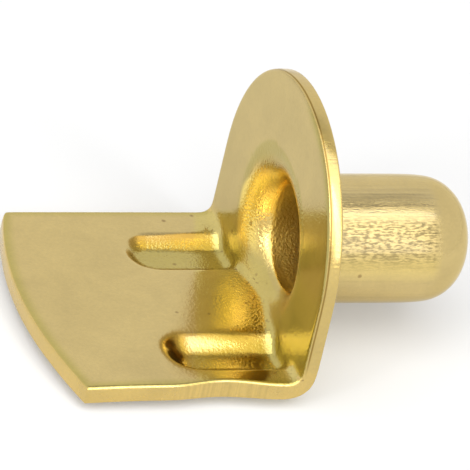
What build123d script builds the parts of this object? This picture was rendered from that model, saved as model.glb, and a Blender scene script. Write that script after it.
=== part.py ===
from build123d import *
from math import hypot, radians, sqrt, tan
import os

# Shelf support pin, pressed from one brass blank: a flat tongue that the shelf rests on, a bend,
# an arched flange that lies against the cabinet side, and a hollow pin drawn out of the flange.
# Sizes are in millimetres. The origin is on the pin's axis, in the flange's outer face.
# +X runs along the pin to its tip, +Z is up, and the tongue reaches out towards -X.

# Drawn pin
PIN_DIAMETER = 6.35
PIN_LENGTH = 9.3
PIN_WALL = 0.775
PIN_TIP_RADIUS = 2.3
MOUTH_RADIUS = 1.5
ROOT_FLARE = 0.25

# Sheet
BRACKET_WIDTH = 15.1
TONGUE_THICKNESS = 0.9
FLANGE_THICKNESS = 0.75
FLANGE_RISE = 8.43
SEAT_BELOW_PIN = 0.235
TONGUE_SIDE_LENGTH = 11.56
TONGUE_BOW = 1.28
BACK_CORNER_RADIUS = 0.45
INNER_BEND_RADIUS = 0.5
OUTER_BEND_RADIUS = 1.3
SHELF_EDGE_RADIUS = 0.18

# Grooves pressed into the tongue, which stand out as beads below it and run into the bend.
# Each lies between the pin's mouth, at a place of 0, and the tongue's side edge, at 1.
GROOVE_WIDTH = 2.95
GROOVE_WALL_ANGLE = 45
GROOVE_RIM_RADIUS = 0.8
GROOVE_FLOOR_RADIUS = 0.6
BEAD_WALL = 0.7
BEAD_EDGE_RADIUS = 0.8
BEAD_FOOT_RADIUS = 0.3
BEAD_END_SETBACK = 0.5
BACK_GROOVE_PLACE = 0.147
BACK_GROOVE_REACH = 6.0
BACK_GROOVE_DEPTH = 0.6
FRONT_GROOVE_PLACE = 0.47
FRONT_GROOVE_REACH = 6.7
FRONT_GROOVE_DEPTH = 0.75

# Stretch of the tongue's front edge that the groove beside it draws inwards
DRAW_IN_DEPTH = 0.27
DRAW_IN_LENGTH = 5.4
DRAW_IN_CENTRE = 4.5

# Places worked out from the sizes above
PIN_RADIUS = PIN_DIAMETER / 2
BORE_RADIUS = PIN_RADIUS - PIN_WALL
HALF_WIDTH = BRACKET_WIDTH / 2
SEAT_Z = -(PIN_RADIUS + SEAT_BELOW_PIN)
UNDERSIDE_Z = SEAT_Z - TONGUE_THICKNESS
FLANGE_INNER_X = -FLANGE_THICKNESS
ARCH_CENTRE_Z = FLANGE_RISE - HALF_WIDTH
TONGUE_CORNER_X = -TONGUE_SIDE_LENGTH
TONGUE_END_X = TONGUE_CORNER_X - TONGUE_BOW
GROOVE_SLOPE = tan(radians(GROOVE_WALL_ANGLE))
HALF_ANGLE_SLOPE = tan(radians(GROOVE_WALL_ANGLE / 2))
MOUTH_RIM_RADIUS = BORE_RADIUS + MOUTH_RADIUS
MOUTH_HALF_SPAN = sqrt(max(0, MOUTH_RIM_RADIUS**2 - SEAT_Z**2))
RIM_TO_RIM = GROOVE_WIDTH + 2 * GROOVE_RIM_RADIUS * HALF_ANGLE_SLOPE
NEAREST_GROOVE_Y = MOUTH_HALF_SPAN + RIM_TO_RIM / 2
GROOVE_ROOM = HALF_WIDTH - RIM_TO_RIM / 2 - NEAREST_GROOVE_Y
BACK_GROOVE_Y = NEAREST_GROOVE_Y + BACK_GROOVE_PLACE * GROOVE_ROOM
FRONT_GROOVE_Y = -(NEAREST_GROOVE_Y + FRONT_GROOVE_PLACE * GROOVE_ROOM)
GROOVES = [
    (BACK_GROOVE_Y, BACK_GROOVE_REACH, BACK_GROOVE_DEPTH),
    (FRONT_GROOVE_Y, FRONT_GROOVE_REACH, FRONT_GROOVE_DEPTH),
]
# How far rough stock stands past the finished outline before it is trimmed
STOCK = PIN_LENGTH
# Points closer than this count as being in one place
NEAR = 1e-3


def l_stock():
    """The bracket's L section, outer bend rounded and inner corner square, drawn out over-wide."""
    outline = Polyline(
        (TONGUE_END_X - STOCK, UNDERSIDE_Z),
        (0, UNDERSIDE_Z),
        (0, FLANGE_RISE + STOCK),
        (FLANGE_INNER_X, FLANGE_RISE + STOCK),
        (FLANGE_INNER_X, SEAT_Z),
        (TONGUE_END_X - STOCK, SEAT_Z),
        close=True,
    )
    section = make_face(outline)
    heel = section.vertices().sort_by_distance((0, UNDERSIDE_Z))[0]
    section = fillet(heel, OUTER_BEND_RADIUS)
    return extrude(Plane.XZ * section, HALF_WIDTH + STOCK, both=True)


def slab(x_min, x_max, z_min, z_max):
    """A block between two planes in X and two in Z that is wider than the stock."""
    centre = Pos((x_min + x_max) / 2, 0, (z_min + z_max) / 2)
    return centre * Box(x_max - x_min, 4 * (HALF_WIDTH + STOCK), z_max - z_min)


def drawn_flange(stock):
    """The flange with the hollow pin drawn out of it and the wide mouth that drawing leaves."""
    plate = stock & slab(FLANGE_INNER_X, STOCK, -STOCK, FLANGE_RISE + 2 * STOCK)
    inner_face = Plane.YZ.offset(FLANGE_INNER_X)
    from_face = (Align.CENTER, Align.CENTER, Align.MIN)
    solid_length = PIN_LENGTH + FLANGE_THICKNESS
    body = plate + inner_face * Cylinder(PIN_RADIUS, solid_length, align=from_face)

    tip = body.edges().filter_by(GeomType.CIRCLE).sort_by(Axis.X)[-1]
    body = fillet(tip, PIN_TIP_RADIUS)

    def at_root(edge):
        middle = edge @ 0.5
        on_pin = abs(hypot(middle.Y, middle.Z) - PIN_RADIUS) < NEAR
        return on_pin and abs(middle.X) < FLANGE_THICKNESS

    body = chamfer(body.edges().filter_by(at_root), ROOT_FLARE)

    bore = inner_face * Cylinder(BORE_RADIUS, solid_length - PIN_WALL, align=from_face)
    bore_end = bore.edges().filter_by(GeomType.CIRCLE).sort_by(Axis.X)[-1]
    body -= fillet(bore_end, PIN_TIP_RADIUS - PIN_WALL)
    mouth = body.edges().filter_by(GeomType.CIRCLE).sort_by(Axis.X)[0]
    return fillet(mouth, MOUTH_RADIUS)


def groove_punch(centre_y, reach, depth):
    """What one groove takes away: a slot with sloping walls and a rounded floor."""
    run_out = STOCK / 2
    slot = SlotOverall(run_out + reach, GROOVE_WIDTH)
    outline = Plane.XY.offset(SEAT_Z) * Pos((run_out - reach) / 2, centre_y) * slot
    punch = extrude(outline, -depth, taper=GROOVE_WALL_ANGLE)
    floor = punch.faces().sort_by(Axis.Z)[0]
    return fillet(floor.edges(), GROOVE_FLOOR_RADIUS)


def bead(centre_y, reach, depth):
    """What one groove pushes out below the tongue, its walls parallel to the groove's own."""
    start_z = SEAT_Z - depth / 2
    drop = depth / 2 + BEAD_WALL
    wall_offset = BEAD_WALL * HALF_ANGLE_SLOPE
    spread = wall_offset + (drop - depth) / GROOVE_SLOPE
    width = GROOVE_WIDTH + 2 * spread
    far_end = -(reach + spread)
    near_end = -BEAD_END_SETBACK
    slot = SlotOverall(near_end - far_end, width)
    outline = Plane.XY.offset(start_z) * Pos((near_end + far_end) / 2, centre_y) * slot
    form = extrude(outline, -drop, taper=GROOVE_WALL_ANGLE)
    crest = form.faces().sort_by(Axis.Z)[0]
    return fillet(crest.edges(), BEAD_EDGE_RADIUS)


def grooved_tongue(stock):
    """The tongue, running on under the flange, with its beads and its rounded grooves."""
    plate = stock & slab(TONGUE_END_X - STOCK, STOCK, -STOCK, SEAT_Z)
    for groove in GROOVES:
        plate += bead(*groove)
    beaded = plate
    for groove in GROOVES:
        plate -= groove_punch(*groove)
    seat = plate.faces().filter_by(Axis.Z).sort_by(Axis.Z)[-1]

    def on_rim(edge):
        middle = edge @ 0.5
        return abs(middle.Y) < HALF_WIDTH and TONGUE_END_X < middle.X < FLANGE_INNER_X

    plate = fillet(seat.edges().filter_by(on_rim), GROOVE_RIM_RADIUS)
    tongue = plate & slab(TONGUE_END_X - STOCK, FLANGE_INNER_X, -STOCK, SEAT_Z)
    heel = beaded & slab(FLANGE_INNER_X, STOCK, -STOCK, SEAT_Z)
    return tongue + heel


def round_inner_bend(body):
    """Rounds the square corner between flange and tongue, through the grooves and past the mouth."""

    def in_corner(edge):
        ends = [edge @ 0, edge @ 1]
        on_flange = all(abs(end.X - FLANGE_INNER_X) < NEAR for end in ends)
        return on_flange and all(UNDERSIDE_Z + NEAR < p.Z < SEAT_Z + NEAR for p in ends)

    return fillet(body.edges().filter_by(in_corner), INNER_BEND_RADIUS)


def flange_outline():
    """The arch, seen along the pin: straight sides below and a half circle on top."""
    arch = Pos(0, ARCH_CENTRE_Z) * Circle(HALF_WIDTH)
    foot = Pos(0, ARCH_CENTRE_Z) * Rectangle(
        BRACKET_WIDTH, 2 * STOCK, align=(Align.CENTER, Align.MAX)
    )
    reach = 2 * (PIN_LENGTH - TONGUE_END_X)
    return extrude(Plane.YZ * (arch + foot), reach, both=True)


def plan_outline():
    """The bracket from above: bowed end with its back corner rounded, front edge drawn in."""
    front = -HALF_WIDTH
    past_pin = PIN_LENGTH + STOCK
    dip_start = (-DRAW_IN_CENTRE - DRAW_IN_LENGTH / 2, front)
    dip_middle = (-DRAW_IN_CENTRE, front + DRAW_IN_DEPTH)
    dip_end = (-DRAW_IN_CENTRE + DRAW_IN_LENGTH / 2, front)
    along = (1, 0)
    bow = ThreePointArc(
        (TONGUE_CORNER_X, HALF_WIDTH), (TONGUE_END_X, 0), (TONGUE_CORNER_X, front)
    )
    front_edge = Line((TONGUE_CORNER_X, front), dip_start)
    dip_in = Spline(dip_start, dip_middle, tangents=[along, along])
    dip_out = Spline(dip_middle, dip_end, tangents=[along, along])
    rest = Polyline(
        dip_end,
        (past_pin, front),
        (past_pin, HALF_WIDTH),
        (TONGUE_CORNER_X, HALF_WIDTH),
    )
    face = make_face([bow, front_edge, dip_in, dip_out, rest])
    back_corner = face.vertices().sort_by_distance((TONGUE_CORNER_X, HALF_WIDTH))[0]
    face = fillet(back_corner, BACK_CORNER_RADIUS)
    return extrude(face, 3 * STOCK, both=True)


def on_outline(point):
    """Whether a point lies on the bracket's cut outline."""
    on_side = abs(point.Y) > HALF_WIDTH - DRAW_IN_DEPTH - NEAR
    on_bow = point.X < TONGUE_CORNER_X - NEAR
    from_arch_centre = hypot(point.Y, point.Z - ARCH_CENTRE_Z)
    on_arch = point.Z > ARCH_CENTRE_Z and from_arch_centre > HALF_WIDTH - NEAR
    return on_side or on_bow or on_arch


def on_shelf_side(point):
    """Whether a point lies on the tongue's upper face, the flange's inner face or the bend between."""
    return point.X < FLANGE_INNER_X + NEAR and point.Z > SEAT_Z - NEAR


def on_wall_side(point):
    """Whether a point lies on the flange's outer face, the tongue's underside or the heel between."""
    heel_x = point.X + OUTER_BEND_RADIUS
    heel_z = point.Z - (UNDERSIDE_Z + OUTER_BEND_RADIUS)
    in_heel = heel_x > 0 and heel_z < 0
    on_heel = in_heel and hypot(heel_x, heel_z) > OUTER_BEND_RADIUS - NEAR
    return -NEAR < point.X < NEAR or abs(point.Z - UNDERSIDE_Z) < NEAR or on_heel


def round_shelf_edge(body):
    """Rounds the outline's edge on the shelf side, which the press rolls over as it cuts."""

    def rolled_over(edge):
        points = [edge @ 0, edge @ 0.5, edge @ 1]
        return on_outline(points[1]) and all(on_shelf_side(point) for point in points)

    return fillet(body.edges().filter_by(rolled_over), SHELF_EDGE_RADIUS)


def round_bead_feet(body):
    """Blends the beads into the tongue's underside and the heel."""

    def at_foot(edge):
        points = [edge @ 0, edge @ 0.5, edge @ 1]
        by_bead = any(all(abs(p.Y - y) < GROOVE_WIDTH for p in points) for y, _, _ in GROOVES)
        return by_bead and all(p.X < -NEAR and on_wall_side(p) for p in points)

    return fillet(body.edges().filter_by(at_foot), BEAD_FOOT_RADIUS)


stock = l_stock()
support_pin = drawn_flange(stock) + grooved_tongue(stock)
support_pin = round_inner_bend(support_pin)
support_pin = round_bead_feet(support_pin)
support_pin = support_pin & flange_outline() & plan_outline()
support_pin = round_shelf_edge(support_pin)
print(f"volume {support_pin.volume:.2f} mm3, valid {support_pin.is_valid}")

os.makedirs("parts", exist_ok=True)
export_step(support_pin, "parts/shelf_support_pin.step")
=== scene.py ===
from math import acos, atan2, cos, hypot, pi, radians, sin, sqrt, tan

import bpy
from mathutils import Matrix, Vector


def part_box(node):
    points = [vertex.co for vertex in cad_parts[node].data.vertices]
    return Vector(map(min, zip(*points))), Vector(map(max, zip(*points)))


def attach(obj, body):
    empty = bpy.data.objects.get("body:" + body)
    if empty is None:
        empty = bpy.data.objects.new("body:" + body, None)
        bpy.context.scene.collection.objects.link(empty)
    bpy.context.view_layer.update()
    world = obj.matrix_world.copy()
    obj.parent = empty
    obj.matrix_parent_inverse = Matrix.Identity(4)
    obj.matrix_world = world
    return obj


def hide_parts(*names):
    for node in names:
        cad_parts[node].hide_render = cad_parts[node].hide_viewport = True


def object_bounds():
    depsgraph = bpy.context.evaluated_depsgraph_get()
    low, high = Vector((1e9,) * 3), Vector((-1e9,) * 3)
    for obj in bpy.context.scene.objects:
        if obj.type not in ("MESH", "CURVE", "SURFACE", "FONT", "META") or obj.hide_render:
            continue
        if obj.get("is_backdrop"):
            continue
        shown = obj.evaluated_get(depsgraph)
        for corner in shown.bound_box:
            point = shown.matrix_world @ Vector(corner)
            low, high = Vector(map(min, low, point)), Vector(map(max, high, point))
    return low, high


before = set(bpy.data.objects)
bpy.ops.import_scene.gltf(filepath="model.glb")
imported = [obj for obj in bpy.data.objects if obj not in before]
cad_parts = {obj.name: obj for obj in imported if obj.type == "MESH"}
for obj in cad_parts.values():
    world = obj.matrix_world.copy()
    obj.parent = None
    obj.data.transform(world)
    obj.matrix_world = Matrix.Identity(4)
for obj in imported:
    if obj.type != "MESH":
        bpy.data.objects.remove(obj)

bl_info = {
    "name": "Shelf support pin",
    "version": (1, 0, 0),
    "blender": (4, 5, 0),
    "location": "View3D > Sidebar > Shelf pin",
    "description": "Models a pressed brass shelf support pin and the plain stage that it is shown on",
    "category": "Object",
}

NODE = "shelf_support_pin"
# The piece is modelled at one unit a millimetre and brought down to metres when it is done
MM = 1000
LOW, HIGH = [tuple(value * MM for value in corner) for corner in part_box(NODE)]


class ShelfPinSizes(bpy.types.PropertyGroup):
    """Sizes of the pressed bracket and its drawn pin."""

    pin_radius: bpy.props.FloatProperty(
        name="Pin radius", description="Outer radius of the drawn pin", default=0.003175, unit="LENGTH"
    )
    pin_wall: bpy.props.FloatProperty(
        name="Pin wall", description="Sheet left in the pin's wall", default=0.00056, unit="LENGTH"
    )
    pin_tip_radius: bpy.props.FloatProperty(
        name="Tip radius", description="Rounding of the pin's closed end", default=0.0023, unit="LENGTH"
    )
    mouth_radius: bpy.props.FloatProperty(
        name="Mouth radius", description="Rounding that drawing leaves at the mouth", default=0.0023,
        unit="LENGTH"
    )
    flange_thickness: bpy.props.FloatProperty(
        name="Flange thickness", description="Sheet in the upright flange", default=0.00075, unit="LENGTH"
    )
    tongue_thickness: bpy.props.FloatProperty(
        name="Tongue thickness", description="Sheet in the tongue", default=0.0009, unit="LENGTH"
    )
    groove_sheet: bpy.props.FloatProperty(
        name="Groove sheet", description="Sheet left under a groove's floor", default=0.00068, unit="LENGTH"
    )
    seat_drop: bpy.props.FloatProperty(
        name="Seat drop", description="How far the seat lies below the pin's axis", default=0.00341,
        unit="LENGTH"
    )
    bend_radius: bpy.props.FloatProperty(
        name="Bend radius", description="Inner radius of the bend", default=0.0005, unit="LENGTH"
    )
    heel_radius: bpy.props.FloatProperty(
        name="Heel radius", description="Outer radius of the bend", default=0.0012, unit="LENGTH"
    )
    tongue_bow: bpy.props.FloatProperty(
        name="Tongue bow", description="How far the tongue's end bows out", default=0.00124, unit="LENGTH"
    )
    corner_radius: bpy.props.FloatProperty(
        name="Corner radius", description="Rounding of the tongue's back corner", default=0.00045,
        unit="LENGTH"
    )
    edge_radius: bpy.props.FloatProperty(
        name="Edge rounding", description="Rounding of the cut edge on the shelf side", default=0.00018,
        unit="LENGTH"
    )


class ShelfPinColours(bpy.types.PropertyGroup):
    """Colours of the brass, of the light and shade painted on it, and of the floor."""

    flat: bpy.props.FloatVectorProperty(
        name="Flat", description="Polished brass of the flats", default=(0.60, 0.458, 0.187), subtype="COLOR"
    )
    worked: bpy.props.FloatVectorProperty(
        name="Worked", description="Greener brass beside the bend", default=(0.625, 0.50, 0.165),
        subtype="COLOR"
    )
    drawn: bpy.props.FloatVectorProperty(
        name="Drawn", description="Deep gold of the drawn mouth", default=(0.68, 0.485, 0.15), subtype="COLOR"
    )
    # Painted light: bright gold for the highlight on the mouth's back side, the light bouncing into the bore
    # and the sheen along the pin
    lit_gold: bpy.props.FloatVectorProperty(
        name="Lit gold", description="Bright gold where the punch rubbed the mouth",
        default=(1.0, 0.76, 0.20), subtype="COLOR"
    )
    cut: bpy.props.FloatVectorProperty(
        name="Cut", description="Bare metal of the cut edge", default=(0.63, 0.445, 0.115), subtype="COLOR"
    )
    # Brown of pits, and of the painted shade deeper in the bore
    tarnish_and_shade: bpy.props.FloatVectorProperty(
        name="Tarnish and shade", description="Brown of pits and deep corners", default=(0.16, 0.075, 0.015),
        subtype="COLOR"
    )
    # Painted olive shade on the rounded rims, in the grooves and on the mouth's rim, lip and top
    olive_shade: bpy.props.FloatVectorProperty(
        name="Olive shade", description="Dull olive where the punch rolls the edge over",
        default=(0.47, 0.385, 0.10), subtype="COLOR"
    )
    floor: bpy.props.FloatVectorProperty(
        name="Floor", description="Plain floor of the stage", default=(0.68, 0.68, 0.68), subtype="COLOR"
    )


def ease(value, start, end):
    """0 at start, 1 at end, and smooth between."""
    share = min(1, max(0, (value - start) / (end - start)))
    return share * share * (3 - 2 * share)


def pressed(away, half, depth, rim, floor):
    """Depth of a groove with walls at 45 degrees, at a distance away from its centre line."""
    eighth = pi / 8
    rim_run = rim * tan(eighth)
    floor_run = floor * tan(eighth)
    rim_start = half + rim_run
    rim_end = half - rim_run * cos(2 * eighth)
    floor_end = half - depth - floor_run
    floor_start = half - depth + floor_run * cos(2 * eighth)
    if away >= rim_start:
        return 0
    if away > rim_end:
        return rim - sqrt(rim**2 - (rim_start - away) ** 2)
    if away > floor_start:
        return half - away
    if away > floor_end:
        return depth - floor + sqrt(floor**2 - (away - floor_end) ** 2)
    return depth


class Groove:
    """One pressed groove of the tongue, in millimetres."""

    # Rounding of its rim on the side of the front edge and on the far side, and how far to each
    # side of the centre line one turns into the other
    near_rim = 0.4
    far_rim = 0.8
    rim_change = 0.6
    # Wider than the bend's radius, so that the bend can run into the groove
    floor = 0.55

    def __init__(self, y, end_x, half, depth):
        self.y = y
        self.half = half
        self.depth = depth
        self.cap_x = end_x + half


# Rings from the outline at 1 to the bore at 0; on the outer side, the root's flare is between two of them
ROOT_SHARE = 0.32
WALL_SHARE = 0.16
RING_SHARES = (1, 0.95, 0.75, 0.55, 0.4, ROOT_SHARE, 0.24, WALL_SHARE, 0.08, 0)
# Rings along the pin's straight wall and where they start on its outer side
PIN_SHARES = (0.05, 0.3, 0.65, 1)
PIN_START = 0.76
# Rings around the pin's closed end, and the radius of the ring that is filled at its middle
TIP_TURNS = 4
POLE_RADIUS = 0.35
# Spokes over the arch, and how far below level the outermost spokes to the bend leave the bore
ARCH_SPOKES = 32
SIDE_TURN = radians(6)
# How far the innermost spokes to the grooves lean away from the middle
MIDDLE_LEAN = radians(1)
# Rows across the tongue: around the bend, at fixed places, and from there to the bowed end
BEND_TURNS = (1, 2 / 3, 1 / 3, 0)
STATIONS = (-1.55, -1.95, -2.5, -3.2, -3.9, -4.5, -4.95, -5.35, -5.7, -6.05, -6.4, -6.75, -7.1, -7.5)
FAR_SHARES = (0.25, 0.55, 0.85, 0.95, 1)
# Rows along the tongue: over each groove, in from each edge, and between the grooves
GROOVE_ROWS = (-1.85, -1.62, -1.34, -0.88, -0.5, 0, 0.5, 0.88, 1.22, 1.52, 1.85)
FRONT_INSETS = (0, 0.3, 0.65)
BACK_INSETS = (1.1, 0.6, 0.3, 0)
MIDDLE_GAPS = 9
# Which grid a point belongs to, and its place in it
MARKS = ("part", "column", "row")
# What a point's surface has been through, and where light and shade are painted on it, for the material
ZONES = ("drawn", "cut", "rim", "crease", "worked", "shaded", "highlight_band", "deep")


class Sheet:
    """Where the two skins of the pressed sheet lie, in millimetres."""

    # Flare where the pin leaves the flange, and how far below it the outer face goes on
    root = 0.25
    below_root = 0.12
    # How far the mouth's rounding turns before it breaks into the bore, and how long that break is
    mouth_turn = radians(60)
    bore_break = 0.12
    # Roundings of the beads under the grooves, and how far they end short of the outer face: that
    # grows down a bead's flanks, by this share of the height that they have lost
    bead_foot = 0.3
    bead_crest = 0.8
    bead_setback = 0.1
    bead_lean = 0.7
    # The stretch of the front edge that pressing the front groove draws in and lifts: its middle and
    # half its length, how far from the middle of the tongue it starts, and how far the edge moves
    draw_x = -4.5
    draw_reach = 2.9
    draw_start = 6.4
    draw_in = 0.27
    draw_lift = 0.11
    # How far the front corner hangs, and how far from the corner that starts
    sag = 0.13
    sag_reach = 4.2
    # Short step over which a slope is measured, and the least cosine that is divided by
    step = 0.01
    least_cosine = 0.01

    def __init__(self, sizes):
        self.flange = sizes.flange_thickness * MM
        self.flange_x = -self.flange
        self.tongue = sizes.tongue_thickness * MM
        self.groove_sheet = sizes.groove_sheet * MM
        self.pin = sizes.pin_radius * MM
        self.wall = sizes.pin_wall * MM
        self.bore = self.pin - self.wall
        self.outer_tip = sizes.pin_tip_radius * MM
        self.tip = self.outer_tip - self.wall
        self.mouth = sizes.mouth_radius * MM
        self.mouth_x = self.flange_x + self.mouth
        self.mouth_rim = self.bore + self.mouth * sin(self.mouth_turn)
        self.bore_x = self.mouth_x - self.mouth * cos(self.mouth_turn) + self.bore_break
        self.edge_tilt = pi / 2 - self.mouth_turn
        self.bore_end = HIGH[0] - self.wall
        self.seat = -sizes.seat_drop * MM
        self.bend = sizes.bend_radius * MM
        self.half = HIGH[1]
        self.arch_z = HIGH[2] - self.half
        self.end_x = LOW[0]
        self.bow = sizes.tongue_bow * MM
        self.corner = sizes.corner_radius * MM
        self.heel = sizes.heel_radius * MM
        self.underside = self.seat - self.tongue
        self.heel_z = self.underside + self.heel
        self.back_groove = Groove(y=3.98, end_x=-6.25, half=1.55, depth=0.63)
        self.front_groove = Groove(y=-4.66, end_x=-6.72, half=1.49, depth=0.77)

    def nearer(self, y):
        """The groove that lies nearer to one row."""
        return min((self.back_groove, self.front_groove), key=lambda groove: abs(y - groove.y))

    def groove_depth(self, x, y):
        """How deep the nearer groove is at one place of the tongue."""
        groove = self.nearer(y)
        away = hypot(min(0, x - groove.cap_x), y - groove.y)
        far = ease(y - groove.y, -groove.rim_change, groove.rim_change)
        rim = groove.near_rim + (groove.far_rim - groove.near_rim) * far
        return pressed(away, groove.half, groove.depth, rim, groove.floor)

    def bead_size(self, groove):
        """How far the bead under a groove stands out, and half its width."""
        drop = groove.depth + self.groove_sheet - self.tongue
        return drop, groove.half + self.groove_sheet * sqrt(2) - self.tongue

    def bead_drop(self, x, y):
        """How far the nearer bead stands out below the tongue at one place."""
        groove = self.nearer(y)
        drop, half = self.bead_size(groove)
        start_z = self.seat - groove.depth / 2
        near_cap = -self.bead_setback - (start_z - self.underside) - half
        beyond = max(0, groove.cap_x - x, x - near_cap)
        return pressed(hypot(beyond, y - groove.y), half, drop, self.bead_foot, self.bead_crest)

    def edge_pull(self, x, y):
        """Share of the draw-in beside the front groove that one place of the tongue takes."""
        beside = abs(x - self.draw_x) / self.draw_reach
        near = (-y - self.draw_start) / (self.half - self.draw_start)
        return cos(beside * pi / 2) ** 2 * near if beside < 1 and near > 0 else 0

    def corner_sag(self, x, y):
        """How far the front corner of the tongue hangs below the rest."""
        from_end = (x - self.end_x - self.bow) / self.sag_reach
        from_front = (y + self.half) / self.sag_reach
        return self.sag * max(0, 1 - max(0, from_end)) ** 2 * max(0, 1 - from_front) ** 2

    def plan_place(self, x, y):
        """A place of the tongue after its front edge draws in and its back corner is rounded."""
        y += self.draw_in * self.edge_pull(x, y)
        centre_x = self.tongue_end(self.half - self.corner) + self.corner
        centre_y = self.half - self.corner
        left, back = (centre_x - x) / self.corner, (y - centre_y) / self.corner
        if left > 0 and back > 0:
            pull = max(left, back) / hypot(left, back) * self.corner
            x, y = centre_x - left * pull, centre_y + back * pull
        return x, y

    def seat_z(self, x, y):
        """Height of the tongue's upper face at one place."""
        lift = self.draw_lift * self.edge_pull(x, y)
        return self.seat - self.groove_depth(x, y) + lift - self.corner_sag(x, y)

    def ball(self, y):
        """Centre of the ball that rolls along the bend, and where it touches the tongue and the flange."""
        before, after = (self.seat_z(self.flange_x, y + step) for step in (-self.step, self.step))
        slope = (after - before) / (2 * self.step)
        up = Vector((0, -slope, 1)).normalized()
        off = Vector((0, y, self.seat_z(self.flange_x, y))) + up * self.bend
        from_axis = hypot(off.y, off.z)
        out = Vector((0, off.y, off.z)) / from_axis
        if from_axis >= self.mouth_rim:
            off.x = self.flange_x - self.bend
            return off, -up, Vector((1, 0, 0))
        gap = self.mouth_rim - from_axis
        along = sqrt((self.mouth + self.bend) ** 2 - gap**2)
        off.x = self.mouth_x - along
        return off, -up, (Vector((along, 0, 0)) + out * gap) / (self.mouth + self.bend)

    def bend_point(self, y, turn):
        """A point of the inner bend, from the tongue at turn 0 to the flange at turn 1."""
        centre, down, to_flange = self.ball(y)
        angle = down.angle(to_flange)
        side = sin((1 - turn) * angle) / sin(angle)
        end = sin(turn * angle) / sin(angle)
        return centre + (down * side + to_flange * end) * self.bend

    def tongue_end(self, y):
        """Where the bowed end of the tongue lies."""
        radius = (self.half**2 + self.bow**2) / (2 * self.bow)
        return self.end_x + radius - sqrt(radius**2 - y * y)

    def mouth_point(self, share, turn, to):
        """A point between the bore's edge at share 0 and the point `to` at share 1."""
        from_axis = hypot(to.y, to.z)
        if from_axis < self.mouth_rim:
            tilt = acos((self.mouth_rim - from_axis) / self.mouth)
            tilt = self.edge_tilt + share * (tilt - self.edge_tilt)
            angle = turn + ((atan2(to.z, to.y) - turn + pi) % (2 * pi) - pi) * share
            return self.round_point(tilt, angle)
        rim = Vector((self.flange_x, self.mouth_rim * cos(turn), self.mouth_rim * sin(turn)))
        arc = self.mouth * self.mouth_turn
        flat = (to - rim).length
        here = share * (arc + flat)
        if here < arc:
            return self.round_point(self.edge_tilt + here / self.mouth, turn)
        return rim.lerp(to, (here - arc) / flat)

    def round_point(self, tilt, angle):
        """A point of the mouth's rounding; tilt is a right angle where it meets the flange."""
        radius = self.mouth_rim - self.mouth * cos(tilt)
        return Vector((self.mouth_x - self.mouth * sin(tilt), radius * cos(angle), radius * sin(angle)))

    def outer_x(self, z):
        """Where the outer face of flange and heel lies at one height."""
        below = max(0, self.heel_z - z)
        return sqrt(self.heel**2 - min(below, self.heel) ** 2) - self.heel

    def outer_foot(self, y):
        """Where the outer face ends and the heel starts in one row, clear of the pin's root."""
        root = self.pin + self.root
        z = self.heel_z
        if abs(y) < root:
            z = min(z, -sqrt(root**2 - y * y) - self.below_root)
        return Vector((self.outer_x(z), y, z))

    def heel_point(self, y, turn):
        """A point of the heel, from the underside at turn 0 to the outer face at turn 1."""
        foot = self.outer_foot(y)
        if turn == 1:
            return foot
        swing = turn * acos(min(1, (self.heel_z - foot.z) / self.heel))
        groove = self.nearer(y)
        drop, half = self.bead_size(groove)
        stands = pressed(abs(y - groove.y), half, drop, self.bead_foot, self.bead_crest)
        radius = self.heel
        if stands > 0:
            start_z = self.seat - groove.depth / 2
            reach = self.heel - self.bead_setback + self.heel_z - start_z
            reach -= (drop - stands) * self.bead_lean
            down = (self.heel + stands) / max(cos(swing), self.least_cosine)
            radius = max(radius, min(down, reach / (sin(swing) + cos(swing))))
        return Vector((radius * sin(swing) - self.heel, y, self.heel_z - radius * cos(swing)))

    def root_point(self, share, turn, to):
        """A point of the outer side, from the pin's wall at share 0 to the point `to` at share 1."""
        if share > ROOT_SHARE:
            radius = self.pin + self.root
            ring = Vector((0, radius * cos(turn), radius * sin(turn)))
            point = ring.lerp(to, (share - ROOT_SHARE) / (1 - ROOT_SHARE))
            point.x = self.outer_x(point.z)
            return point
        swing = min(1, max(0, (ROOT_SHARE - share) / (ROOT_SHARE - WALL_SHARE))) * pi / 2
        radius = self.pin + self.root * (1 - sin(swing))
        along_wall = max(0, WALL_SHARE - share) * (PIN_START - self.root) / WALL_SHARE
        lift = self.root * (1 - cos(swing)) + along_wall
        z = radius * sin(turn)
        return Vector((self.outer_x(z) + lift, radius * cos(turn), z))

    def outline_point(self, angle):
        """Where a ray from the pin's axis meets the flange's side or arch."""
        across, up = cos(angle), sin(angle)
        if across:
            z = self.half * up / abs(across)
            if z <= self.arch_z:
                return Vector((self.flange_x, self.half if across > 0 else -self.half, z))
        middle = self.arch_z * up
        reach = middle + sqrt(middle**2 + self.half**2 - self.arch_z**2)
        return Vector((self.flange_x, reach * across, reach * up))


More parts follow.
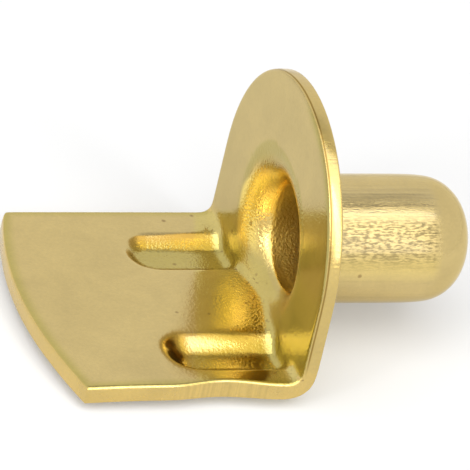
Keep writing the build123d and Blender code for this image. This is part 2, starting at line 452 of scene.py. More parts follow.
class Layout:
    """Rows along the tongue and spokes around the pin, which meet at the bend, and every point on them."""

    def __init__(self, sheet):
        self.sheet = sheet
        front = [sheet.front_groove.y + away for away in GROOVE_ROWS]
        back = [sheet.back_groove.y + away for away in GROOVE_ROWS]
        gap = back[0] - front[-1]
        self.middle = [front[-1] + gap * i / MIDDLE_GAPS for i in range(1, MIDDLE_GAPS)]
        self.front = [inside - sheet.half for inside in FRONT_INSETS] + front
        self.back = back + [sheet.half - inside for inside in BACK_INSETS]
        self.rows = self.front + self.middle + self.back
        self.spokes = self.make_spokes()
        self.rings = len(RING_SHARES)
        self.cup_rings = self.rings + len(PIN_SHARES) + TIP_TURNS + 1
        self.along = len(BEND_TURNS) + len(STATIONS) + len(FAR_SHARES)

    def make_spokes(self):
        """The turn of each spoke at the bore, and where it ends on the shelf side and on the outer side."""
        sheet = self.sheet
        full = 2 * pi
        feet = [sheet.bend_point(y, 1) for y in self.rows]
        turns = [atan2(foot.z, foot.y) % full for foot in feet]
        last = len(self.rows) - 1
        inner_front = turns[len(self.front) - 1] - MIDDLE_LEAN
        inner_back = turns[last - len(self.back) + 1] + MIDDLE_LEAN
        start, stop = pi + SIDE_TURN, full - SIDE_TURN
        spokes = []
        for i, foot in enumerate(feet):
            turn = turns[i]
            if i < len(self.front):
                turn = start + (inner_front - start) * i / (len(self.front) - 1)
            elif i > last - len(self.back):
                turn = stop + (inner_back - stop) * (last - i) / (len(self.back) - 1)
            spokes.append((turn, foot, sheet.outer_foot(self.rows[i])))
        for i in range(1, ARCH_SPOKES):
            share = i / ARCH_SPOKES
            point = sheet.outline_point(turns[-1] + (turns[0] + full - turns[-1]) * share)
            spokes.append((stop + (start + full - stop) * share, point, Vector((0, point.y, point.z))))
        first = spokes[0]
        return spokes + [(first[0] + full, first[1], first[2])]

    def pin_ring(self, i, x_start, radius, tip, end_x):
        """Distance along the pin and radius of one ring between the mouth and the closed end."""
        straight = end_x - tip
        if i < len(PIN_SHARES):
            return x_start + (straight - x_start) * PIN_SHARES[i], radius
        turn = (i - len(PIN_SHARES) + 1) / TIP_TURNS * pi / 2
        if turn <= pi / 2:
            return straight + tip * sin(turn), radius - tip * (1 - cos(turn))
        return end_x, POLE_RADIUS

    def cup_inside(self, column, row):
        """A point of flange, mouth and bore on the shelf side."""
        turn, foot, _ = self.spokes[column]
        sheet = self.sheet
        if row == 0:
            return foot
        if row < self.rings:
            return sheet.mouth_point(RING_SHARES[row], turn, foot)
        x, radius = self.pin_ring(row - self.rings, sheet.bore_x, sheet.bore, sheet.tip, sheet.bore_end)
        return Vector((x, radius * cos(turn), radius * sin(turn)))

    def cup_outside(self, column, row):
        """A point of flange and pin on the outer side."""
        turn, _, foot = self.spokes[column]
        sheet = self.sheet
        if row == 0:
            return foot
        if row < self.rings:
            return sheet.root_point(RING_SHARES[row], turn, foot)
        x, radius = self.pin_ring(row - self.rings, PIN_START, sheet.pin, sheet.outer_tip, HIGH[0])
        return Vector((x, radius * cos(turn), radius * sin(turn)))

    def tongue_x(self, y, row):
        """Distance along the tongue of one cross row."""
        if row < len(STATIONS):
            return STATIONS[row]
        return STATIONS[-1] + (self.sheet.tongue_end(y) - STATIONS[-1]) * FAR_SHARES[row - len(STATIONS)]

    def tongue_inside(self, column, row):
        """A point of bend and tongue on the shelf side."""
        y = self.rows[column]
        if row < len(BEND_TURNS):
            return self.sheet.bend_point(y, BEND_TURNS[row])
        x = self.tongue_x(y, row - len(BEND_TURNS))
        return Vector((*self.sheet.plan_place(x, y), self.sheet.seat_z(x, y)))

    def tongue_outside(self, column, row):
        """A point of heel and underside."""
        y = self.rows[column]
        sheet = self.sheet
        if row < len(BEND_TURNS):
            return sheet.heel_point(y, BEND_TURNS[row])
        x = self.tongue_x(y, row - len(BEND_TURNS))
        z = sheet.underside - sheet.bead_drop(x, y) - sheet.corner_sag(x, y)
        return Vector((*sheet.plan_place(x, y), z))


def select_only(piece):
    """Selects one piece and makes it the active one."""
    bpy.ops.object.select_all(action="DESELECT")
    piece.select_set(True)
    bpy.context.view_layer.objects.active = piece


def in_edit_mode(piece, *steps):
    """Runs edit-mode steps on all of one piece."""
    select_only(piece)
    bpy.ops.object.mode_set(mode="EDIT")
    bpy.ops.mesh.select_all(action="SELECT")
    for step in steps:
        step()
    bpy.ops.object.mode_set(mode="OBJECT")


def add_grid(name, columns, rows, place, part):
    """A grid whose points are put in place one by one; place takes a column and a row."""
    size = 2
    bpy.ops.object.select_all(action="DESELECT")
    bpy.ops.mesh.primitive_grid_add(x_subdivisions=columns, y_subdivisions=rows, size=size)
    piece = bpy.context.object
    piece.name = name
    for mark in MARKS:
        piece.data.attributes.new(mark, "INT", "POINT")
    marks = [piece.data.attributes[mark].data for mark in MARKS]
    for i, vertex in enumerate(piece.data.vertices):
        column = round((vertex.co.x / size + 0.5) * columns)
        row = round((vertex.co.y / size + 0.5) * rows)
        vertex.co = place(column, row)
        for mark, value in zip(marks, (part, column, row)):
            mark[i].value = value
    return piece


def apply_modifier(piece, name, kind, **settings):
    """Adds a modifier to a piece and applies it."""
    modifier = piece.modifiers.new(name, kind)
    for setting, value in settings.items():
        setattr(modifier, setting, value)
    select_only(piece)
    bpy.ops.object.modifier_apply(modifier=name)


def close_pole(piece, sheet):
    """Fills the small ring left open at the bottom of the bore and points the faces outwards."""
    slack = 0.01
    widest = POLE_RADIUS * 1.1
    far_on_seat = Vector((-9, 0, sheet.seat))

    def fill():
        bpy.ops.mesh.select_all(action="DESELECT")
        bpy.ops.object.mode_set(mode="OBJECT")
        for vertex in piece.data.vertices:
            near_axis = hypot(vertex.co.y, vertex.co.z) < widest
            vertex.select = near_axis and vertex.co.x > sheet.bore_end - slack
        bpy.ops.object.mode_set(mode="EDIT")
        bpy.ops.mesh.edge_face_add()
        bpy.ops.mesh.select_all(action="SELECT")
        bpy.ops.mesh.normals_make_consistent(inside=False)

    in_edit_mode(piece, fill)
    seat_face = min(piece.data.polygons, key=lambda face: (face.center - far_on_seat).length)
    if seat_face.normal.z < 0:
        in_edit_mode(piece, bpy.ops.mesh.flip_normals)


def add_second_skin(piece, layout):
    """Gives the sheet its outer side, puts each of its points in place, and counts the first side's."""
    mesh = piece.data
    count = len(mesh.vertices)
    # Any thickness will do, since each new point is put in place below
    apply_modifier(piece, "sheet", "SOLIDIFY", thickness=0.1, offset=-1)
    part, column, row = (mesh.attributes[mark].data for mark in MARKS)
    for i in range(count):
        outside = layout.tongue_outside if part[i].value else layout.cup_outside
        mesh.vertices[count + i].co = outside(column[i].value, row[i].value)
    return count


def round_edges(piece, shelf_side, radius):
    """Rounds the cut edge: the punch rolls it on the shelf side and leaves it crisp on the other."""
    sharpest_left = radians(50)
    crisp = 0.3

    def find_sharp():
        bpy.ops.mesh.select_mode(type="EDGE")
        bpy.ops.mesh.select_all(action="DESELECT")
        bpy.ops.mesh.edges_select_sharp(sharpness=sharpest_left)

    in_edit_mode(piece, find_sharp)
    weight = piece.data.attributes.new("bevel_weight_edge", "FLOAT", "EDGE")
    for edge in piece.data.edges:
        if edge.select:
            weight.data[edge.index].value = 1 if max(edge.vertices) < shelf_side else crisp
    apply_modifier(
        piece, "edges", "BEVEL", width=radius, segments=2, limit_method="WEIGHT", use_clamp_overlap=False
    )


class Wear:
    """What drawing, bending and cutting did to each place of the sheet, and its painted light and shade, as
    shares from 0 to 1.

    A pair is where a mark begins and where it is full. A mark's second pair, which ends in fade, says
    the same of its other side. All places are in millimetres.
    """

    # How far over the seat is still the tongue, and how far outside the mouth's rim is still the mouth
    seat_margin = 0.3
    mouth_margin = 0.3
    # How far a face in the mouth turns to the axis or the shelf, and one on the shelf side to the shelf
    to_axis = -0.03
    to_shelf = -0.1
    facing_least = 0.5
    # The least distance from an axis that is divided by
    least_distance = 0.001
    # The lip of the mouth above the bend, and the mouth's top: less gold than the rest, and painted with
    # olive shade
    lip_z = (-1.7, -2.7)
    lip_end = 1
    lip_gold = 0.8
    lip_shade = 0.7
    top_z = (1.6, 2.8)
    top_end = 0.6
    top_gold = 0.6
    # The drawn gold and the ring of painted olive shade at the mouth's rounded rim, by distance in from the
    # rim; the ring is full in the mouth's upper half and this share of it below
    upper_z = (0, 1.5)
    gold = (0.3, 0.8)
    ring = (-0.1, 0.15)
    ring_fade = (0.8, 0.4)
    ring_below = 0.3
    # A painted highlight of bright gold on the mouth's back side, further in towards the top
    highlight_band = (0.1, 0.4)
    band_fade = (1.7, 1.3)
    band_rise = 0.4
    band_y = (0.2, 1.4)
    band_z = (-2.6, -1.8)
    band_z_fade = (2.4, 1.0)
    # Where the bore starts
    bore_x = (0.2, 0.7)
    # How near the outline a face is a cut one, on the tongue's sides and elsewhere, and how
    # squarely it faces out
    side_reach = 0.7
    edge_reach = 0.4
    cut = (0.55, 0.8)
    # Painted olive shade along the rounded rim, by distance from the outline; the flange has it on its front
    # half
    rim = (0.7, 0.1)
    rim_y = (0, -2)
    # The crease along the bend, by distance from a line just inside it
    crease_in = 0.2
    crease = (1.3, 0.35)
    # Greener metal beside the bend; its edge runs aslant over the tongue and the flange
    tongue_slant = 0.3
    tongue_worked = (-4.0, -3.6)
    flange_slant = 0.67
    flange_worked = (-1.9, -1.3)
    flange_worked_end = 0.1
    # Painted olive shade: a patch before the bend, the grooves, where the front one is darker near the
    # bend, and a patch low on the front of the flange
    patch_x = (-3.6, -2.6)
    patch_y = (-3.2, -2.4)
    patch_y_fade = (1.8, 1.0)
    patch_shade = 0.5
    groove_depth = (0.1, 0.5)
    groove_near_x = (-2.2, -1.4)
    front_groove_shade = 0.45
    low_shade_y = (-4.0, -5.0)
    low_shade_z = (-0.6, -1.4)

    def __init__(self, sheet):
        self.sheet = sheet

    def in_mouth(self, x, y, z, facing):
        """Whether a place lies in the mouth or the bore."""
        from_axis = max(hypot(y, z), self.least_distance)
        to_axis = (facing.y * y + facing.z * z) / from_axis < self.to_axis
        to_shelf = facing.x < self.to_shelf and from_axis < self.sheet.mouth_rim
        near_axis = from_axis < self.sheet.mouth_rim + self.mouth_margin
        return near_axis and x > self.sheet.flange_x - self.mouth_margin and (to_axis or to_shelf)

    def mouth_marks(self, x, y, z):
        """How gold a place in the mouth is, how much painted olive shade and painted highlight it gets, and
        how deep it is.
        """
        inwards = self.sheet.mouth_rim - max(hypot(y, z), self.least_distance)
        upper = ease(z, *self.upper_z)
        on_lip = ease(z, *self.lip_z) * (x < self.lip_end)
        on_top = ease(z, *self.top_z) * (x < self.top_end)
        drawn = ease(inwards, *self.gold) * (1 - self.lip_gold * on_lip) * (1 - self.top_gold * on_top)
        on_ring = ease(inwards, *self.ring) * ease(inwards, *self.ring_fade)
        on_ring *= self.ring_below + (1 - self.ring_below) * upper
        highlight_band = ease(inwards - self.band_rise * upper, *self.highlight_band) * ease(inwards, *self.band_fade)
        highlight_band *= ease(y, *self.band_y) * ease(z, *self.band_z) * ease(z, *self.band_z_fade)
        # The second value is painted olive shade and the third a painted highlight
        return drawn, max(on_lip * self.lip_shade, on_top, on_ring), highlight_band, ease(x, *self.bore_x)

    def edge_marks(self, x, y, z, facing, on_tongue):
        """How far a place is from the outline, and how squarely it faces out of it."""
        sheet = self.sheet
        if on_tongue:
            edge = min(sheet.half - abs(y), x - sheet.tongue_end(y))
            beside = abs(y) > sheet.half - self.side_reach
            return edge, max(abs(facing.y) * beside, -facing.x * (edge < self.edge_reach))
        if z > sheet.arch_z:
            up = z - sheet.arch_z
            from_arch = max(hypot(y, up), self.least_distance)
            edge = sheet.half - from_arch
            return edge, (facing.y * y + facing.z * up) / from_arch * (edge < self.edge_reach)
        edge = sheet.half - abs(y)
        return edge, abs(facing.y) * (edge < self.edge_reach)

    def shade_marks(self, x, y, z, facing, on_tongue):
        """How much painted olive shade a place outside the mouth gets."""
        in_patch = on_tongue * ease(x, *self.patch_x) * ease(y, *self.patch_y) * ease(y, *self.patch_y_fade)
        in_groove = 0
        if z < self.sheet.seat + self.seat_margin and facing.z > 0:
            in_groove = ease(self.sheet.groove_depth(x, y), *self.groove_depth)
            in_groove *= max(1 if y > 0 else self.front_groove_shade, ease(x, *self.groove_near_x))
        on_low_shade = ease(y, *self.low_shade_y) * ease(z, *self.low_shade_z)
        on_low_shade *= facing.x < -self.facing_least and not on_tongue
        return max(in_groove, in_patch * self.patch_shade, on_low_shade)

    def marks(self, place, facing):
        """Every mark at one place, by the name of its zone."""
        sheet = self.sheet
        x, y, z = place
        on_tongue = z < sheet.seat + self.seat_margin and x < sheet.flange_x
        in_mouth = self.in_mouth(x, y, z, facing)
        drawn, mouth_shade, highlight_band, deep = self.mouth_marks(x, y, z) if in_mouth else (0, 0, 0, 0)
        edge, outwards = self.edge_marks(x, y, z, facing, on_tongue)
        from_bend = hypot(x - sheet.flange_x + self.crease_in, z - sheet.seat - self.crease_in)
        if on_tongue:
            shelf_side = facing.z > self.facing_least
            worked = ease(x - self.tongue_slant * y, *self.tongue_worked)
        else:
            shelf_side = facing.x < -self.facing_least
            worked = ease(-z - self.flange_slant * y, *self.flange_worked) * (x < self.flange_worked_end)
        return {
            "drawn": drawn,
            "cut": ease(outwards, *self.cut),
            # The rim gets painted olive shade along the rounded outline
            "rim": ease(edge, *self.rim) * (on_tongue or ease(y, *self.rim_y)) if shelf_side else 0,
            "crease": ease(from_bend, *self.crease),
            "worked": worked,
            # Painted olive shade in the grooves, on the mouth's rim, lip and top, and in two patches
            "shaded": max(mouth_shade, self.shade_marks(x, y, z, facing, on_tongue)),
            # A painted highlight on the mouth's back side
            "highlight_band": highlight_band,
            "deep": deep,
        }


def mark_zones(piece, sheet):
    """Marks where the sheet is drawn, cut, creased or worked, and where light and shade are painted, for the
    material to follow.
    """
    mesh = piece.data
    wear = Wear(sheet)
    for name in ZONES:
        mesh.attributes.new(name, "FLOAT", "POINT")
    zones = {name: mesh.attributes[name].data for name in ZONES}
    for vertex, normal in zip(mesh.vertices, mesh.vertex_normals):
        for name, value in wear.marks(vertex.co, normal.vector).items():
            zones[name][vertex.index].value = value


def model_bracket(sizes):
    """The whole piece: tongue, bend, flange and drawn pin of one sheet."""
    sheet = Sheet(sizes)
    layout = Layout(sheet)
    cup = add_grid("cup", len(layout.spokes) - 1, layout.cup_rings - 1, layout.cup_inside, 0)
    tongue = add_grid("tongue", len(layout.rows) - 1, layout.along - 1, layout.tongue_inside, 1)
    select_only(cup)
    tongue.select_set(True)
    bpy.ops.object.join()
    piece = bpy.context.object
    piece.name = "pressed_brass_bracket"
    in_edit_mode(piece, lambda: bpy.ops.mesh.remove_doubles(threshold=0.001))
    close_pole(piece, sheet)
    shelf_side = add_second_skin(piece, layout)
    round_edges(piece, shelf_side, sizes.edge_radius * MM)
    for mark in (*MARKS, "bevel_weight_edge"):
        piece.data.attributes.remove(piece.data.attributes[mark])
    apply_modifier(piece, "smooth", "SUBSURF", levels=2, render_levels=2)
    bpy.ops.object.shade_smooth()
    mark_zones(piece, sheet)
    piece.scale = (1 / MM,) * 3
    bpy.ops.object.transform_apply(location=False, rotation=False, scale=True)
    return piece


class NodeBuilder:
    """Adds and links the nodes of one material or world."""

    def __init__(self, tree):
        self.tree = tree

    def add(self, kind, inputs=None, **settings):
        """Adds a node; inputs maps a socket to a value or to the output that feeds it."""
        node = self.tree.nodes.new(kind)
        for setting, value in settings.items():
            setattr(node, setting, value)
        for socket, value in (inputs or {}).items():
            self.feed(node.inputs[socket], value)
        return node

    def feed(self, socket, value):
        """Links an output to a socket, or sets the socket to a value."""
        if isinstance(value, bpy.types.NodeSocket):
            self.tree.links.new(value, socket)
        else:
            socket.default_value = value

    def math(self, operation, first, second=0.0, clamp=False):
        inputs = {0: first, 1: second}
        return self.add("ShaderNodeMath", inputs, operation=operation, use_clamp=clamp).outputs[0]

    def times(self, first, second):
        return self.math("MULTIPLY", first, second)

    def plus(self, first, second, clamp=False):
        return self.math("ADD", first, second, clamp)

    def larger(self, first, second):
        return self.math("MAXIMUM", first, second)

    def without(self, mask):
        """What a mask leaves over."""
        return self.math("SUBTRACT", 1.0, mask)

    def between(self, value, low, high, to_low=0.0, to_high=1.0):
        """The value's range from low to high spread over another range, clamped."""
        inputs = {"Value": value, "From Min": low, "From Max": high, "To Min": to_low, "To Max": to_high}
        return self.add("ShaderNodeMapRange", inputs).outputs["Result"]

    def mix(self, share, first, second, blend="MIX"):
        """Mixes two colours."""
        node = self.add("ShaderNodeMix", data_type="RGBA", blend_type=blend)
        self.feed(node.inputs["Factor"], share)
        for name, value in (("A", first), ("B", second)):
            socket = next(s for s in node.inputs if s.name == name and s.type == "RGBA")
            self.feed(socket, value)
        return next(s for s in node.outputs if s.type == "RGBA")

    def tinted(self, colour, tint):
        """A colour multiplied by another."""
        return self.mix(1.0, colour, tint, "MULTIPLY")

    def noise(self, place, scale, detail=2.0, stretch=None, distortion=0.0):
        """Noise from 0 to 1 with so many lumps a metre, stretched along the axes."""
        if stretch:
            place = self.add("ShaderNodeMapping", {"Vector": place, "Scale": stretch}).outputs[0]
        inputs = {"Vector": place, "Scale": scale, "Detail": detail, "Distortion": distortion}
        return self.add("ShaderNodeTexNoise", inputs).outputs["Fac"]

    def zone(self, name):
        """One of the marks that the sheet's points carry."""
        return self.add("ShaderNodeAttribute", attribute_name=name).outputs["Fac"]


WHITE = (1, 1, 1, 1)


class BrassSurface:
    """What lacquered brass shows at each place: its colour with painted light and shade, roughness, height
    and lacquer.

    A pair of places, in metres, is where a mark begins and where it is full. A pair of levels is
    the stretch of a noise that counts, and the pair after it is what that stretch turns into.
    """

    # The pin's cylinder, between the flange and the rounded tip
    pin_start = (0.0001, 0.0004)
    pin_end = (0.0073, 0.0068)
    # Its front above the axis, which is fully lined, and how much the rest of it is lined
    front_y = (0.0, -0.001)
    front_z = (0.0, 0.0015)
    lined_behind = 0.3
    # Its scuffed front flank, and the stretch at the axis's height that gets a painted highlight
    flank_y = (-0.0018, -0.0022)
    flank_z = (0.0, 0.0008)
    sheen_top = (0.0012, 0.0006)
    sheen_bottom = (-0.0006, 0.0002)
    # The flange, above the bend and up to the pin, and the tint that paints it a little darker
    upright_z = (-0.0029, -0.0025)
    upright_x = (0.0004, 0.0001)
    upright_shade_tint = (0.91, 0.925, 0.98, 1)
    # How far from the middle of its drawn-in stretch the front edge's cut is struck with lines
    draw_reach = (0.003, 0.0018)
    # The burr: a thin line along the flange's cut edge, above the bend
    burr_start = (-0.00066, -0.00063)
    burr_end = (-0.00055, -0.00058)
    burr_z = (-0.003, -0.002)
    # Where painted shade starts browning the bore with depth, and how brown it gets
    bore_x = (0.001, 0.003)
    bore_shade_brown = 0.4
    # The height at which the cut edge's lines turn from the tongue's sheet to the flange's
    on_flange = (-0.003, -0.0025)
    # Shares of another colour where a mark is full
    # The rim and groove shares paint olive shade; the bore and sheen shares paint bright gold light
    rim_shade_share = 0.8
    shaded_share = 0.75
    bore_light_share = 0.85
    sheen_share = 0.3
    burr_share = 0.6
    pit_share = 0.55
    # Shades that the noises give
    most_noise = (0.3, 0.7)
    mottle_shade = (0.93, 1.05)
    speckle_shade = (0.96, 1.03)
    score_levels = (0.34, 0.52)
    score_shade = (0.78, 1.0)
    dash_levels = (0.4, 0.58)
    dash_shade = (0.34, 0.85)
    line_levels = (0.35, 0.65)
    struck_shade = (0.88, 1.04)
    worn_levels = (0.62, 0.72)
    worn_brown = 0.75
    # Pits: cells a metre, how far a pit reaches as a share of its cell, and which cells have one
    pit_cells = 620.0
    pit_reach = (0.09, 0.04)
    pit_chosen = (0.6, 0.7)
    # Roughness of the flats, and what each mark adds
    flat_rough = (0.13, 0.2)
    drawn_rough = 0.06
    bore_rough = 0.18
    crease_rough = 0.06
    cut_rough = 0.12
    flank_rough = 0.14
    line_rough = (0.02, 0.12)
    # Height of each mark, as shares of the bump's distance
    coarse_height = 0.25
    rough_height = 0.4
    shaded_height = 0.7
    grain_height = 0.1
    score_height = 0.28
    dash_height = 0.2
    cut_height = 0.2
    bump_distance = 0.00006
    # Lacquer everywhere, and what cut edges and the lined pin add
    lacquer_least = 0.15
    cut_lacquer = 0.45
    lined_lacquer = 0.35

    def __init__(self, build, colours):
        self.build = build
        self.colours = colours
        self.place = build.add("ShaderNodeTexCoord").outputs["Object"]
        split = build.add("ShaderNodeSeparateXYZ", {"Vector": self.place})
        self.x, self.y, self.z = (split.outputs[axis] for axis in "XYZ")
        self.zones = {name: build.zone(name) for name in ZONES}
        self.add_noises()
        self.find_pin()
        self.find_edges()

    def add_noises(self):
        """Blotches and grains, and lines that run along the pin or through the cut edge."""
        build, place = self.build, self.place
        self.mottle = build.noise(place, scale=420, detail=5, distortion=0.6)
        self.grain = build.noise(place, scale=7200, detail=3)
        self.coarse = build.noise(place, scale=3600, detail=4, distortion=0.8)
        self.scores = build.noise(place, scale=6000, detail=3, stretch=(0.02, 1, 1))
        self.sparkle = build.noise(place, scale=12000, detail=3, stretch=(0.28, 1, 1))
        self.tongue_cut = build.noise(place, scale=8200, detail=2, stretch=(1, 1, 0.05))
        self.flange_cut = build.noise(place, scale=5200, detail=2, stretch=(0.05, 1, 1))

    def find_pin(self):
        """The pin's cylinder without the bore, and the lined, scuffed and painted-highlight parts of it."""
        build = self.build
        outside = build.without(build.larger(self.zones["drawn"], self.zones["deep"]))
        pin = build.times(build.between(self.x, *self.pin_start), outside)
        pin = build.times(pin, build.between(self.x, *self.pin_end))
        front = build.times(build.between(self.y, *self.front_y), build.between(self.z, *self.front_z))
        self.lined = build.times(pin, build.between(front, 0, 1, self.lined_behind, 1.0))
        sheen = build.times(build.between(self.z, *self.sheen_top), build.between(self.z, *self.sheen_bottom))
        self.sheen = build.times(sheen, pin)
        flank = build.times(build.between(self.y, *self.flank_y), build.between(self.z, *self.flank_z))
        self.flank = build.times(flank, pin)

    def find_edges(self):
        """The flange outside its mouth, where a darker tint is painted, the lined stretch of the front edge,
        and the burr.
        """
        build = self.build
        upright = build.times(build.between(self.z, *self.upright_z), build.between(self.x, *self.upright_x))
        self.upright = build.times(upright, build.without(self.zones["drawn"]))
        from_draw = build.math("ABSOLUTE", build.plus(self.x, -Sheet.draw_x / MM))
        self.struck = build.times(build.between(from_draw, *self.draw_reach), self.zones["cut"])
        burr = build.times(build.between(self.x, *self.burr_start), build.between(self.x, *self.burr_end))
        burr = build.times(burr, self.zones["cut"])
        self.burr = build.times(burr, build.between(self.z, *self.burr_z))

    def paint(self, name):
        """One of the brass colours, by its name in the panel."""
        return (*getattr(self.colours, name), 1)

    def zone_colour(self):
        """The colour that each zone has before any mark or grain, with painted olive shade, highlights, bore
        light and bore shade in it.
        """
        build, zones = self.build, self.zones
        olive_shade, bright = self.paint("olive_shade"), self.paint("lit_gold")
        colour = build.mix(zones["worked"], self.paint("flat"), self.paint("worked"))
        # Painted olive shade on the rounded rims, in the grooves and on parts of the mouth
        colour = build.mix(build.times(zones["rim"], self.rim_shade_share), colour, olive_shade)
        colour = build.mix(build.times(zones["shaded"], self.shaded_share), colour, olive_shade)
        colour = build.mix(zones["drawn"], colour, self.paint("drawn"))
        # A painted highlight of bright gold on the mouth's back side
        colour = build.mix(zones["highlight_band"], colour, bright)
        # Painted light and shade in the bore: bright gold for the light that bounces in, browning deeper in
        colour = build.mix(build.times(zones["deep"], self.bore_light_share), colour, bright)
        deeper_shade = build.between(self.x, *self.bore_x, 0.0, self.bore_shade_brown)
        colour = build.mix(build.times(zones["deep"], deeper_shade), colour, self.paint("tarnish_and_shade"))
        # A painted highlight along the pin at the axis's height
        colour = build.mix(build.times(self.sheen, self.sheen_share), colour, bright)
        return build.mix(zones["cut"], colour, self.paint("cut"))

    def colour(self):
        """The zones' colours with mottling, the flange's painted darker tint, score lines, dashes, the burr,
        pits and worn brown.
        """
        build = self.build
        brown = self.paint("tarnish_and_shade")
        mottled = build.between(self.mottle, *self.most_noise, *self.mottle_shade)
        speckled = build.between(self.grain, *self.most_noise, *self.speckle_shade)
        colour = build.tinted(self.zone_colour(), build.times(mottled, speckled))
        # A darker tint painted on the flange
        colour = build.mix(self.upright, colour, build.tinted(colour, self.upright_shade_tint))

        dashes = build.between(self.sparkle, *self.dash_levels, *self.dash_shade)
        dashes = build.mix(self.flank, WHITE, dashes)
        scored = build.tinted(build.between(self.scores, *self.score_levels, *self.score_shade), dashes)
        colour = build.tinted(colour, build.mix(self.lined, WHITE, scored))
        struck = build.between(self.tongue_cut, *self.line_levels, *self.struck_shade)
        colour = build.tinted(colour, build.mix(self.struck, WHITE, struck))
        colour = build.mix(build.times(self.burr, self.burr_share), colour, brown)

        cells = build.add("ShaderNodeTexVoronoi", {"Vector": self.place, "Scale": self.pit_cells})
        chosen = build.add("ShaderNodeSeparateColor", {"Color": cells.outputs["Color"]}).outputs[0]
        near_middle = build.between(cells.outputs["Distance"], *self.pit_reach)
        pits = build.times(near_middle, build.between(chosen, *self.pit_chosen))
        worn = build.between(self.coarse, *self.worn_levels, 0.0, self.worn_brown)
        worn = build.times(self.zones["crease"], worn)
        return build.mix(build.larger(build.times(pits, self.pit_share), worn), colour, brown)

    def roughness(self):
        """The polish of the flats, and what drawing, bending, cutting and scuffing add to it."""
        build, zones = self.build, self.zones
        rough = build.between(self.mottle, *self.most_noise, *self.flat_rough)
        rough = build.plus(rough, build.times(zones["drawn"], self.drawn_rough))
        rough = build.plus(rough, build.times(zones["deep"], self.bore_rough))
        rough = build.plus(rough, build.times(zones["crease"], self.crease_rough))
        rough = build.plus(rough, build.times(zones["cut"], self.cut_rough))
        rough = build.plus(rough, build.times(self.flank, self.flank_rough))
        streaks = build.between(self.scores, *self.line_levels, *self.line_rough)
        return build.plus(rough, build.times(self.lined, streaks), clamp=True)

    def bumps(self):
        """Lumps where the metal was stretched, and lines along the pin and through the cut edge."""
        build, zones = self.build, self.zones
        stretched = build.larger(zones["drawn"], zones["crease"])
        stretched = build.larger(stretched, build.times(zones["shaded"], self.shaded_height))
        lumps = build.plus(build.times(self.coarse, self.coarse_height), self.grain)
        height = build.times(lumps, build.times(stretched, self.rough_height))
        on_flange = build.between(self.z, *self.on_flange)
        cut_lines = build.add("ShaderNodeMix", {"Factor": on_flange}, data_type="FLOAT")
        build.feed(cut_lines.inputs["A"], self.tongue_cut)
        build.feed(cut_lines.inputs["B"], self.flange_cut)
        fine = build.times(self.grain, self.grain_height)
        lines = build.times(self.scores, build.times(self.lined, self.score_height))
        dashes = build.times(self.sparkle, build.times(self.lined, self.dash_height))
        cut_lines = build.times(cut_lines.outputs["Result"], build.times(zones["cut"], self.cut_height))
        for part in (fine, lines, dashes, cut_lines):
            height = build.plus(height, part)
        inputs = {"Height": height, "Distance": self.bump_distance, "Strength": 1.0}
        return build.add("ShaderNodeBump", inputs).outputs["Normal"]

    def lacquer(self):
        """How much lacquer is left: most on the cut edge and the lined pin, none on the burr."""
        build = self.build
        shine = build.math("SUBTRACT", self.lined, self.flank, clamp=True)
        shine = build.times(shine, self.lined_lacquer)
        lacquer = build.plus(build.times(self.zones["cut"], self.cut_lacquer), shine)
        return build.times(build.plus(lacquer, self.lacquer_least), build.without(self.burr))


def brass_material(colours):
    """Lacquered brass: khaki flats, a greener bend, a grainy drawn mouth, scored pin and cut edges, with
    painted olive shade and painted highlights.
    """
    material = bpy.data.materials.new("pressed_brass")
    material.use_nodes = True
    build = NodeBuilder(material.node_tree)
    inputs = material.node_tree.nodes["Principled BSDF"].inputs
    surface = BrassSurface(build, colours)
    build.feed(inputs["Base Color"], surface.colour())
    build.feed(inputs["Roughness"], surface.roughness())
    build.feed(inputs["Normal"], surface.bumps())
    build.feed(inputs["Coat Weight"], surface.lacquer())
    inputs["Metallic"].default_value = 1
    inputs["Specular Tint"].default_value = (0.95, 0.88, 0.68, 1)
    inputs["Coat IOR"].default_value = 1.9
    inputs["Coat Roughness"].default_value = 0.12
    return material


def area_lamp(name, azimuth, elevation, distance, width, height, radiance):
    """A soft box that faces the object; azimuth is counted from +X to +Y, in degrees."""
    out = Vector((1, 0, 0))
    out.rotate(Matrix.Rotation(-radians(elevation), 4, "Y"))
    out.rotate(Matrix.Rotation(radians(azimuth), 4, "Z"))
    turn = out.to_track_quat("Z", "Y").to_euler()
    bpy.ops.object.light_add(type="AREA", location=out * distance, rotation=turn)
    lamp = bpy.context.object
    lamp.name = name
    lamp.data.shape = "RECTANGLE"
    lamp.data.size = width
    lamp.data.size_y = height
    lamp.data.energy = radiance * pi * width * height
    lamp.visible_camera = False


def shown_ray(build):
    """1 for the rays that show the background: camera, glossy and transmission rays."""
    path = build.add("ShaderNodeLightPath")
    shown = build.larger(path.outputs["Is Camera Ray"], path.outputs["Is Glossy Ray"])
    return build.larger(shown, path.outputs["Is Transmission Ray"])


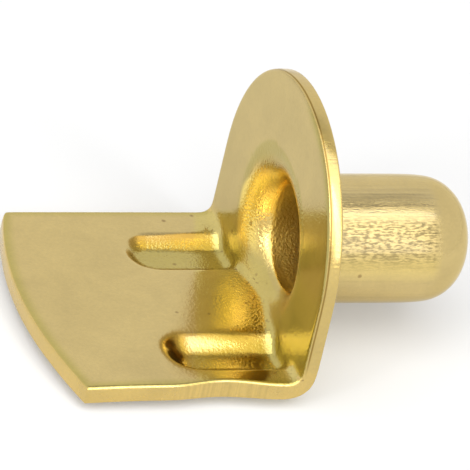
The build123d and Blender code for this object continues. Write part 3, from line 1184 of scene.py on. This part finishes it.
def add_floor(colour):
    """A plain floor level with the beads, a little lighter to the rays that show it."""
    glow = 0.2
    low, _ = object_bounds()
    bpy.ops.object.select_all(action="DESELECT")
    bpy.ops.mesh.primitive_plane_add(size=3, location=(0, 0, low[2]))
    floor = bpy.context.object
    floor.name = "floor"
    bpy.ops.object.transform_apply(location=True, rotation=True, scale=True)
    material = bpy.data.materials.new("floor")
    material.use_nodes = True
    build = NodeBuilder(material.node_tree)
    inputs = material.node_tree.nodes["Principled BSDF"].inputs
    inputs["Base Color"].default_value = (*colour, 1)
    inputs["Roughness"].default_value = 0.9
    inputs["Specular IOR Level"].default_value = 0
    inputs["Emission Color"].default_value = WHITE
    build.feed(inputs["Emission Strength"], build.times(shown_ray(build), glow))
    floor.data.materials.append(material)
    floor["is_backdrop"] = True


def add_world():
    """A pale surround that darkens overhead and lights the object less than it shows."""
    overhead = (0.80, 0.95)
    overhead_level = 0.42
    light_level = 0.45
    world = bpy.data.worlds.new("surround")
    bpy.context.scene.world = world
    world.use_nodes = True
    build = NodeBuilder(world.node_tree)
    place = build.add("ShaderNodeTexCoord").outputs["Generated"]
    height = build.add("ShaderNodeSeparateXYZ", {"Vector": place}).outputs["Z"]
    level = build.between(height, *overhead, 1.0, overhead_level)
    strength = build.between(shown_ray(build), 0, 1, light_level, 1.0)
    background = world.node_tree.nodes["Background"]
    background.inputs["Color"].default_value = WHITE
    build.feed(background.inputs["Strength"], build.times(level, strength))


def add_camera():
    """A long lens from in front, above and to the left of the pin, tilted as in the photograph."""
    right = Vector((0.935, -0.295, 0.198))
    roughly_up = Vector((0, 0.557, 0.830))
    distance, left, raised = 0.333, 0.00232, 0.000156
    picture_width, pixels_per_mm = 470, 20.52
    back = right.cross(roughly_up).normalized()
    up = back.cross(right).normalized()
    right.normalize()
    place = back * distance - right * left + up * raised
    bpy.ops.object.camera_add()
    camera = bpy.context.object
    camera.matrix_world = Matrix.Translation(place) @ Matrix((right, up, back)).transposed().to_4x4()
    camera.data.sensor_width = 36
    camera.data.lens = camera.data.sensor_width * pixels_per_mm * distance * MM / picture_width
    camera.data.clip_start = 0.01
    bpy.context.scene.camera = camera


class AddBracket(bpy.types.Operator):
    """Add the pressed brass bracket with its drawn pin"""

    bl_idname = "shelf_pin.add_bracket"
    bl_label = "Pressed bracket"

    def execute(self, context):
        piece = model_bracket(context.scene.shelf_pin_sizes)
        piece.data.materials.append(brass_material(context.scene.shelf_pin_colours))
        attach(piece, "root")
        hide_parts(NODE)
        return {"FINISHED"}


class AddStage(bpy.types.Operator):
    """Add the floor, the surround, the lamps and the camera"""

    bl_idname = "shelf_pin.add_stage"
    bl_label = "Stage"

    def execute(self, context):
        add_floor(context.scene.shelf_pin_colours.floor)
        add_world()
        area_lamp("key", azimuth=245, elevation=57, distance=0.6, width=0.96, height=0.96, radiance=1.9)
        area_lamp("strip", azimuth=293, elevation=33, distance=0.5, width=0.08, height=0.5, radiance=4.4)
        area_lamp("glint", azimuth=212, elevation=27, distance=0.5, width=0.07, height=0.14, radiance=10.0)
        add_camera()
        context.scene.view_settings.view_transform = "Standard"
        return {"FINISHED"}


class ShelfPinPanel(bpy.types.Panel):
    """Lists the pieces of the shelf support pin and what can be changed"""

    bl_idname = "VIEW3D_PT_shelf_pin"
    bl_label = "Shelf support pin"
    bl_space_type = "VIEW_3D"
    bl_region_type = "UI"
    bl_category = "Shelf pin"

    def draw(self, context):
        for settings in (context.scene.shelf_pin_sizes, context.scene.shelf_pin_colours):
            box = self.layout.box()
            for name in settings.__annotations__:
                box.prop(settings, name)
        self.layout.operator(AddBracket.bl_idname)
        self.layout.operator(AddStage.bl_idname)


CLASSES = (ShelfPinSizes, ShelfPinColours, AddBracket, AddStage, ShelfPinPanel)


def register():
    for kind in CLASSES:
        bpy.utils.register_class(kind)
    bpy.types.Scene.shelf_pin_sizes = bpy.props.PointerProperty(type=ShelfPinSizes)
    bpy.types.Scene.shelf_pin_colours = bpy.props.PointerProperty(type=ShelfPinColours)


def unregister():
    del bpy.types.Scene.shelf_pin_colours
    del bpy.types.Scene.shelf_pin_sizes
    for kind in reversed(CLASSES):
        bpy.utils.unregister_class(kind)


def main():
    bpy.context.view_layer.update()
    register()
    bpy.ops.shelf_pin.add_bracket()
    bpy.ops.shelf_pin.add_stage()


if __name__ == "__main__":
    main()
